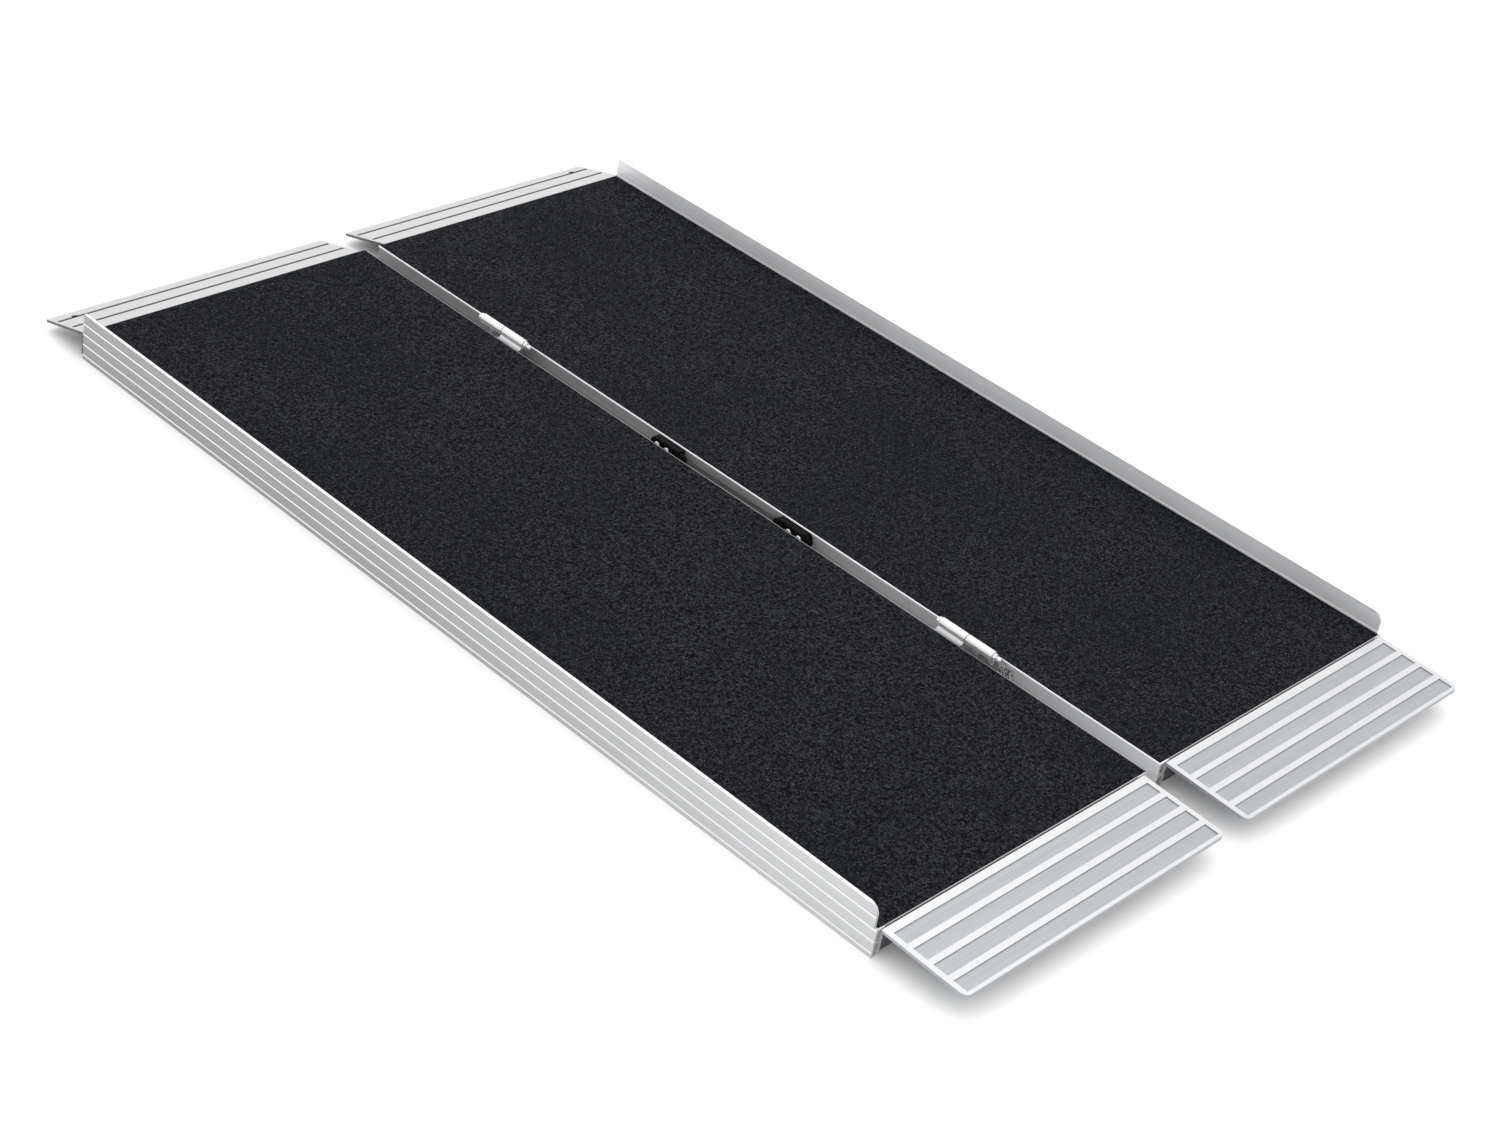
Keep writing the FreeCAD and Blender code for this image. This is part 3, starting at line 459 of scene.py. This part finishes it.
def rib_crest_keeper_highlight(foot, high, fin_inside, deck):
    """Mask of the painted highlights on an outer rail's ribs, its curb's top and the rib over the grit's
    edge, which fades up the ramp.
    """
    def mask(tree, position, normal):
        def past(axis, limit, sign=1):
            return beyond(axis, limit, sign)(tree, position, normal)
        low, top = (deck + height for height in KEEPER_BAND)
        keeper = maths(tree, "SUBTRACT", past(2, low), past(2, top))
        keeper = maths(tree, "SUBTRACT", keeper, past(0, fin_inside - KEEPER_PROUD, 0), clamp=True)
        # the painted highlight on the rib over the grit fades up the ramp
        highlight_fade = fade(1, (foot, 0.9), (foot + 0.5, 0.35), (foot + 1.0, 0.15))(tree, position)
        keeper = maths(tree, "MULTIPLY", keeper, highlight_fade)
        edges = maths(tree, "MAXIMUM", past(0, high.x - RIB_BAND, 0), past(2, high.z - CREST_BAND))
        return maths(tree, "MAXIMUM", edges, keeper)
    return mask


def weld_mark(foot):
    """Shade of a rippled, dull mark on the right rail's web, beside the foot-end hinge."""
    middle = foot + WELD_MARK_PLACE
    across = fade(1, (middle - 12 * MM, 0.0), (middle - 7 * MM, 1.0), (middle + 7 * MM, 1.0),
                  (middle + 12 * MM, 0.0))
    up = fade(2, (7 * MM, 0.0), (11 * MM, 1.0), (22 * MM, 1.0), (25 * MM, 0.0))

    def tone(tree, position):
        here = maths(tree, "MULTIPLY", across(tree, position), up(tree, position))
        here = maths(tree, "MULTIPLY", here, beyond(0, 0.0)(tree, position, None))
        ripple = remap(tree, noise(tree, position, 140.0, 2.0, 0.5, 2.5), 0.44, 0.56, 0.8, -0.5)
        return maths(tree, "SUBTRACT", 1.0, maths(tree, "MULTIPLY", ripple, here))
    return tone


def inner_rail_painted_shading(foot):
    """Painted light and shade of an inner rail's web, which darkens up the ramp and towards the floor,
    with the weld mark on the right rail.
    """
    run = fade(1, (foot, 1.5), (foot + 0.13, 1.12), (foot + 0.34, 0.88), (foot + 0.48, 0.66),
               (foot + 1.07, 0.6))
    height = fade(2, (13 * MM, 0.84), (27 * MM, 1.04))
    mark = weld_mark(foot)

    def tone(tree, position):
        shade = maths(tree, "MULTIPLY", run(tree, position), height(tree, position))
        return maths(tree, "MULTIPLY", mark(tree, position), shade)
    return tone


def barrel_painted_shading(axis_z):
    """Painted shade of a hinge: darker below the barrel's axis, with a painted darker line between the
    highlights above it.
    """
    return fade(2, (axis_z - 5 * MM, 0.55), (axis_z - 1 * MM, 0.9), (axis_z + 2.4 * MM, 1.0),
                (axis_z + 3.0 * MM, 0.7), (axis_z + 3.6 * MM, 1.0))


# ---------------------------------------------------------------- new pieces
def to_piece(name, mesh_source, body, material, smooth=False, stands_for=()):
    """Turns a finished bmesh into a piece that rides on a body."""
    mesh = bpy.data.meshes.new(name)
    mesh_source.to_mesh(mesh)
    mesh_source.free()
    mesh.materials.append(material)
    for face in mesh.polygons:
        face.use_smooth = smooth
    piece = bpy.data.objects.new(name, mesh)
    bpy.context.scene.collection.objects.link(piece)
    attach(piece, body)
    if stands_for:
        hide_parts(*stands_for)
    return piece


def grit_coat(side, cell, relief):
    """A closed sheet whose upper side is broken into coarse grains."""
    low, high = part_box(f"{side}_grit_sheet")
    draw = random.Random(11 if side == "left" else 23)
    size = high - low
    cells = (round(size.x / cell), round(size.y / cell))
    bm = bmesh.new()
    bmesh.ops.create_grid(bm, x_segments=cells[0], y_segments=cells[1], size=0.5)
    bmesh.ops.scale(bm, vec=(size.x, size.y, 1.0), verts=bm.verts)
    bmesh.ops.translate(bm, vec=((low.x + high.x) / 2, (low.y + high.y) / 2, high.z), verts=bm.verts)
    rim = [e for e in bm.edges if e.is_boundary]
    on_rim = {v for e in rim for v in e.verts}
    jitter = cell * 0.32
    for vert in bm.verts:
        if vert not in on_rim:
            vert.co += Vector((draw.uniform(-jitter, jitter), draw.uniform(-jitter, jitter),
                               draw.triangular(-relief, relief * 0.4, -relief * 0.1)))
        else:
            vert.co.z -= relief * draw.uniform(0.3, 0.6)
    walls = bmesh.ops.extrude_edge_only(bm, edges=rim)["geom"]
    foot = [v for v in walls if isinstance(v, bmesh.types.BMVert)]
    for vert in foot:
        vert.co.z = low.z
    bottom = [e for e in bm.edges if e.is_boundary]
    bmesh.ops.contextual_create(bm, geom=bottom)
    bmesh.ops.triangulate(bm, faces=[f for f in bm.faces if len(f.verts) > 4])
    bmesh.ops.recalc_face_normals(bm, faces=bm.faces)
    return bm


def add_socket_screw(bm, head_base, outward, radius, height, sides, socket_share, shank_r, shank):
    """A button-head screw: domed head with a hexagon socket, and its shank."""
    turn = Vector((0, 0, 1)).rotation_difference(outward).to_matrix().to_4x4()
    place = Matrix.Translation(head_base) @ turn
    before = set(bm.verts)
    ring = bmesh.ops.create_circle(bm, cap_ends=True, segments=sides, radius=radius)["verts"]
    top = next(f for f in ring[0].link_faces)
    grown = bmesh.ops.extrude_face_region(bm, geom=[top])["geom"]
    crown = [v for v in grown if isinstance(v, bmesh.types.BMVert)]
    bmesh.ops.translate(bm, vec=(0, 0, height), verts=crown)
    shoulder = [e for e in {e for v in crown for e in v.link_edges}
                if all(v in crown for v in e.verts)]
    bmesh.ops.bevel(bm, geom=shoulder, offset=height * 0.72, segments=5, profile=0.5,
                    affect="EDGES", material=-1)
    cap = max((f for f in bm.faces if set(f.verts).isdisjoint(before)),
              key=lambda f: (len(f.verts) == sides) * f.calc_center_median().z)
    bmesh.ops.inset_region(bm, faces=[cap], thickness=radius * 0.12)
    reach = radius * socket_share
    for vert in cap.verts:
        angle = math.atan2(vert.co.y, vert.co.x) % (math.pi / 3) - math.pi / 6
        r = reach * math.cos(math.pi / 6) / math.cos(angle)
        vert.co.xy = Vector(vert.co.xy).normalized() * r
    sunk = bmesh.ops.extrude_face_region(bm, geom=[cap])["geom"]
    bmesh.ops.delete(bm, geom=[cap], context="FACES_ONLY")
    socket_floor = [v for v in sunk if isinstance(v, bmesh.types.BMVert)]
    bmesh.ops.translate(bm, vec=(0, 0, -height * 0.6), verts=socket_floor)
    made = [v for v in bm.verts if v not in before]
    stem = bmesh.ops.create_cone(bm, cap_ends=True, segments=12, radius1=shank_r, radius2=shank_r,
                                 depth=shank)["verts"]
    bmesh.ops.translate(bm, vec=(0, 0, -shank / 2 + height * 0.1), verts=stem)
    bmesh.ops.transform(bm, matrix=place, verts=made + stem)


def mount_screws(sizes):
    """Four button-head screws, two through each handle mount."""
    low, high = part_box("handle_mount_screws")
    bm = bmesh.new()
    head_r = (high.z - low.z) / 2
    z = (low.z + high.z) / 2
    for node, outer_end in (("handle_mount_foot_end", 0), ("handle_mount_top_end", 1)):
        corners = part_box(node)
        for inset in MOUNT_SCREW_INSETS:
            y = corners[1].y - inset if outer_end else corners[0].y + inset
            base = Vector((corners[0].x, y, z))
            add_socket_screw(bm, base, Vector((-1, 0, 0)), head_r, SCREW_HEAD_HEIGHT,
                             sizes.screw_sides, sizes.socket_across, SCREW_SHANK_R,
                             high.x - corners[0].x)
    bmesh.ops.recalc_face_normals(bm, faces=bm.faces)
    return bm


# ---------------------------------------------------------------- stage
def lay_floor(scene):
    """A wide sheet of pale paper."""
    bm = bmesh.new()
    bmesh.ops.create_grid(bm, x_segments=2, y_segments=2, size=30.0)
    mesh = bpy.data.meshes.new("floor")
    bm.to_mesh(mesh)
    bm.free()
    floor = bpy.data.objects.new("floor", mesh)
    scene.collection.objects.link(floor)
    material, tree, surface, position, _ = start_material(
        "floor_paper", **{"Metallic": 0.0, "IOR": 1.4, "Specular IOR Level": 0.0})
    tone = remap(tree, noise(tree, position, 1.3, 2.0), 0.3, 0.7, 0.995, 1.005)
    colour = blend_colours(tree, 1.0, scene.ramp_colours.floor, tone, "MULTIPLY")
    finish_surface(tree, surface, colour, remap(tree, tone, 0.99, 1.01, 0.88, 0.92))
    mesh.materials.append(material)


def light_studio(scene):
    """White surroundings, brighter overhead, and one large softbox aimed at the ramp."""
    world = bpy.data.worlds.new("studio")
    world.use_nodes = True
    tree = world.node_tree
    tree.nodes.clear()
    direction = tree.nodes.new("ShaderNodeTexCoord").outputs["Generated"]
    height = put(tree, "ShaderNodeSeparateXYZ", {"Vector": direction}).outputs["Z"]
    shade = remap(tree, height, 0.0, 0.55, 0.80, 1.06)
    back = put(tree, "ShaderNodeBackground", {
        "Color": blend_colours(tree, 1.0, (1.0, 1.0, 1.0), shade, "MULTIPLY"),
        "Strength": scene.ramp_light.sky})
    out = tree.nodes.new("ShaderNodeOutputWorld")
    tree.links.new(back.outputs[0], out.inputs["Surface"])
    scene.world = world

    lamp = bpy.data.lights.new("softbox", "AREA")
    lamp.shape = "RECTANGLE"
    lamp.size, lamp.size_y = 3.2, 2.4
    lamp.energy = scene.ramp_light.key
    softbox = bpy.data.objects.new("softbox", lamp)
    softbox.location = (0.6, 0.9, 2.6)
    softbox.rotation_euler = (-softbox.location).to_track_quat("-Z", "Y").to_euler()
    scene.collection.objects.link(softbox)


def place_camera(scene):
    """The camera stands beyond the foot end on the left and looks down along the ramp."""
    data = bpy.data.cameras.new("camera")
    data.sensor_width = 36.0
    data.lens = CAMERA_LENS
    data.clip_start, data.clip_end = 0.05, 100.0
    camera = bpy.data.objects.new("camera", data)
    heading, dip, roll = (math.radians(a) for a in (CAMERA_HEADING, CAMERA_DIP, CAMERA_ROLL))
    forward = Vector((math.sin(heading) * math.cos(dip), math.cos(heading) * math.cos(dip),
                      -math.sin(dip)))
    turn = forward.to_track_quat("-Z", "Y").to_matrix().to_4x4() @ Matrix.Rotation(roll, 4, "Z")
    foot = Vector((0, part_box("left_outer_rail")[0].y, 0))
    camera.matrix_world = Matrix.Translation(foot + Vector(CAMERA_PLACE)) @ turn
    scene.collection.objects.link(camera)
    scene.camera = camera
    scene.view_settings.view_transform = "Standard"
    scene.view_settings.look = "None"
    scene.view_settings.exposure = scene.ramp_light.exposure


# ---------------------------------------------------------------- operators
class RAMP_OT_rails(bpy.types.Operator):
    """Finish the outer and inner rails of both panels, with painted light, shade and highlights"""
    bl_idname = "ramp.rails"
    bl_label = "Rails"

    def execute(self, context):
        colours = context.scene.ramp_colours
        low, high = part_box("right_outer_rail")
        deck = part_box("right_grit_sheet")[1].z
        nose_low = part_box("handle_mount_top_end")[1].z
        fin_inside = high.x - FIN_THICKNESS
        lines = (1500.0, 4.0, 1500.0)
        # the outer rails carry painted shade along their length and painted highlights on ribs and crests
        outer = drawn_aluminium("outer_rail_painted_light", colours.aluminium, lines, ALONG_Y, metal=0.3,
                                tone=outer_rail_painted_shading(low.y, fin_inside, deck, high.z),
                                bright_mask=rib_crest_keeper_highlight(low.y, high, fin_inside, deck),
                                bright=scaled(colours.edge_highlight, 1.28))
        # painted highlight along the top of each inner rail above the handle mounts, brighter on the
        # right rail than on the left
        for side, nose in (("left", 0.8), ("right", 1.45)):
            inner = drawn_aluminium(f"{side}_inner_rail_painted_light", scaled(colours.aluminium, 0.88),
                                    lines, ALONG_Y, rough=0.36, metal=0.4,
                                    tone=inner_rail_painted_shading(low.y), bright_mask=beyond(2, nose_low),
                                    bright=scaled(colours.edge_highlight, nose))
            paint(f"{side}_outer_rail", outer)
            paint(f"{side}_inner_rail", inner)
        return {"FINISHED"}


class RAMP_OT_planks(bpy.types.Operator):
    """Finish the deck planks and the rails across their ends, the foot rails painted dark as painted
    shade under the plates
    """
    bl_idname = "ramp.planks"
    bl_label = "Planks and end rails"

    def execute(self, context):
        colours = context.scene.ramp_colours
        lengthwise, crosswise = (1100.0, 3.0, 1100.0), (4.0, 1300.0, 1300.0)
        plank = drawn_aluminium("plank_finish", scaled(colours.aluminium, 0.92), lengthwise, ALONG_Y,
                                rough=0.42)
        across = drawn_aluminium("end_rail_finish", scaled(colours.aluminium, 0.8), crosswise,
                                 ALONG_X, rough=0.4)
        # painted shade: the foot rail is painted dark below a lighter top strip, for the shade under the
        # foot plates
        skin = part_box("left_foot_rail")[1].z - FOOT_RAIL_SKIN
        shaded = drawn_aluminium("foot_rail_painted_shade", scaled(colours.aluminium, 0.2), crosswise,
                                 ALONG_X, rough=0.5, metal=0.2, bright_mask=beyond(2, skin),
                                 bright=scaled(colours.aluminium, 0.9))
        for side in SIDES:
            for i in (1, 2, 3):
                paint(f"{side}_plank_{i}", plank)
            paint(f"{side}_foot_rail", shaded)
            paint(f"{side}_top_rail", across)
        return {"FINISHED"}


class RAMP_OT_plates(bpy.types.Operator):
    """Finish the grooved foot plates and top lips, with painted highlights on the ridges and painted
    shade in the grooves
    """
    bl_idname = "ramp.plates"
    bl_label = "Foot plates and lips"

    def execute(self, context):
        colours = context.scene.ramp_colours
        lines = (5.0, 900.0, 900.0)
        root = Vector((0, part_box("left_outer_rail")[0].y - FOOT_PLATE_SETBACK,
                       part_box("left_foot_plate")[1].z))
        # painted highlight on the ridge tops, painted shade on the groove floors below them
        foot = drawn_aluminium(
            "foot_plate_painted_light", colours.groove, lines, ALONG_Y, rough=0.36, contrast=0.10,
            line_depth=0.16, metal=0.7,
            bright_mask=above_plane(root, FOOT_PLATE_TILT, -PLATE_FACE_BAND),
            bright=scaled(colours.edge_highlight, 0.9))
        lip_low, lip_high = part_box("left_top_lip")
        bend = Vector((0, lip_low.y, lip_high.z))
        # the lip's groove floors are painted much darker as painted shade, and its ridge tops carry a
        # painted highlight
        lip = drawn_aluminium(
            "lip_painted_light", scaled(colours.groove, 0.26), lines, ALONG_Y, rough=0.36, contrast=0.10,
            bright_mask=above_plane(bend, -LIP_TILT, -PLATE_FACE_BAND),
            bright=scaled(colours.edge_highlight, 0.78))
        for side in SIDES:
            paint(f"{side}_foot_plate", foot)
            paint(f"{side}_top_lip", lip)
        return {"FINISHED"}


class RAMP_OT_grit(bpy.types.Operator):
    """Lay the grit coat of each deck"""
    bl_idname = "ramp.grit"
    bl_label = "Grit coats"

    def execute(self, context):
        sizes = context.scene.ramp_sizes
        finish = grit_with_painted_glint(context.scene.ramp_colours.grit)
        for side in SIDES:
            bm = grit_coat(side, sizes.grit_cell, sizes.grit_relief)
            to_piece(f"{side}_grit_coat", bm, f"{side}_panel", finish,
                     stands_for=(f"{side}_grit_sheet",))
        return {"FINISHED"}


class RAMP_OT_hinges(bpy.types.Operator):
    """Finish the two barrel hinges, with painted shade on the barrels, and every rivet and plank screw"""
    bl_idname = "ramp.hinges"
    bl_label = "Hinges and fasteners"

    def execute(self, context):
        colours = context.scene.ramp_colours
        pin_low, pin_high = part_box("foot_end_hinge_pin")
        bright = plated_steel("hinge_plating_painted_shade", colours.plating, 0.28,
                              tone=barrel_painted_shading((pin_low.z + pin_high.z) / 2))
        duller = plated_steel("fastener_plating", scaled(colours.plating, 0.86), 0.30)
        for end in ("foot_end", "top_end"):
            for part in ("hinge_leaf_left", "hinge_leaf_right", "hinge_pin", "hinge_pin_cap"):
                paint(f"{end}_{part}", bright)
        for side in SIDES:
            for part in ("lip_rivets", "foot_rail_screws", "top_rail_screws", "hinge_rivets"):
                paint(f"{side}_{part}", duller)
        return {"FINISHED"}


class RAMP_OT_handle(bpy.types.Operator):
    """Finish the carrying handle and fit its screws"""
    bl_idname = "ramp.handle"
    bl_label = "Carrying handle"

    def execute(self, context):
        colours = context.scene.ramp_colours
        mount = moulded_black("mount_moulding", colours.plastic, 0.6)
        grip = moulded_black("grip_moulding", scaled(colours.plastic, 1.3), 0.58, 900.0)
        bail = moulded_black("bail_coating", scaled(colours.plastic, 1.2), 0.34, 2200.0)
        paint("handle_mount_foot_end", mount)
        paint("handle_mount_top_end", mount)
        paint("carry_grip", grip)
        paint("carry_bail", bail)
        screws = plated_steel("mount_screw_plating", colours.plating, 0.22)
        to_piece("handle_socket_screws", mount_screws(context.scene.ramp_sizes), "right_panel",
                 screws, stands_for=("handle_mount_screws",))
        return {"FINISHED"}


class RAMP_OT_stage(bpy.types.Operator):
    """Set the floor, the studio light and the camera"""
    bl_idname = "ramp.stage"
    bl_label = "Floor, light and camera"

    def execute(self, context):
        lay_floor(context.scene)
        light_studio(context.scene)
        place_camera(context.scene)
        return {"FINISHED"}


class RAMP_PT_panel(bpy.types.Panel):
    """Lists the steps that finish the ramp"""
    bl_label = "Wheelchair Ramp"
    bl_idname = "RAMP_PT_panel"
    bl_space_type = "VIEW_3D"
    bl_region_type = "UI"
    bl_category = "Ramp"

    def draw(self, context):
        for step in STEPS:
            self.layout.operator(step.bl_idname)
        for group in (context.scene.ramp_sizes, context.scene.ramp_colours, context.scene.ramp_light):
            for name in group.__annotations__:
                self.layout.prop(group, name)


GROUPS = {"ramp_sizes": RampSizes, "ramp_colours": RampColours, "ramp_light": RampLight}
STEPS = (RAMP_OT_rails, RAMP_OT_planks, RAMP_OT_plates, RAMP_OT_grit, RAMP_OT_hinges,
         RAMP_OT_handle, RAMP_OT_stage)


def register():
    """Adds the settings, the operators and the panel."""
    for group in GROUPS.values():
        bpy.utils.register_class(group)
    for step in STEPS:
        bpy.utils.register_class(step)
    bpy.utils.register_class(RAMP_PT_panel)
    for name, group in GROUPS.items():
        setattr(bpy.types.Scene, name, PointerProperty(type=group))


def unregister():
    """Takes out what register added."""
    for name in GROUPS:
        delattr(bpy.types.Scene, name)
    bpy.utils.unregister_class(RAMP_PT_panel)
    for step in reversed(STEPS):
        bpy.utils.unregister_class(step)
    for group in reversed(list(GROUPS.values())):
        bpy.utils.unregister_class(group)


def main():
    """Runs every step."""
    register()
    for step in STEPS:
        family, name = step.bl_idname.split(".")
        getattr(getattr(bpy.ops, family), name)()


if __name__ == "__main__":
    main()
